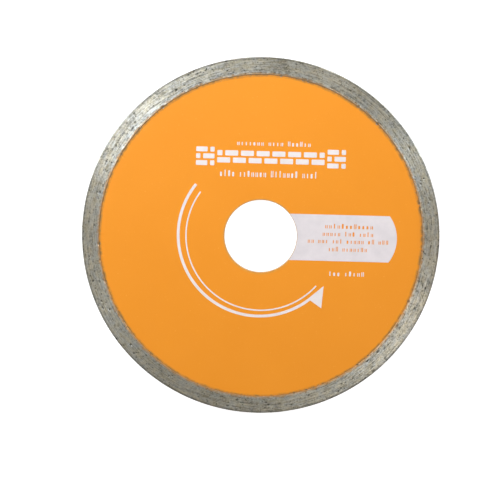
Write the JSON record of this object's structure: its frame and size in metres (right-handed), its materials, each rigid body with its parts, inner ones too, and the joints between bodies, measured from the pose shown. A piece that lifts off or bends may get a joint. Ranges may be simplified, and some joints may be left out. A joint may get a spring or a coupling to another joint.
{
  "type": "diamond blade",
  "caption": "Thin round cutting disc: steel core with an arbor bore, continuous sintered diamond rim, enamelled and printed faces.",
  "frame": {"origin": "centre of the arbor bore, on the disc's middle plane", "axes": "+Z along the arbor axis, out of the printed side; +X along the rows of print; +Y towards the title band"},
  "size_m": [0.11, 0.11, 0.0018],
  "materials": {
    "core_steel": "satin",
    "sintered_bond": "matte",
    "orange_enamel": "satin",
    "white_ink": "satin"
  },
  "bodies": {
    "root": {"core": "core_steel", "rim": "sintered_bond", "front_enamel": "orange_enamel", "back_enamel": "orange_enamel", "spec_panel": "white_ink", "rotation_arrow": "white_ink", "arrow_companion_line": "white_ink", "title_band": "white_ink", "upper_line": "white_ink", "lower_line": "white_ink", "standard_line": "white_ink"}
  },
  "joints": []
}
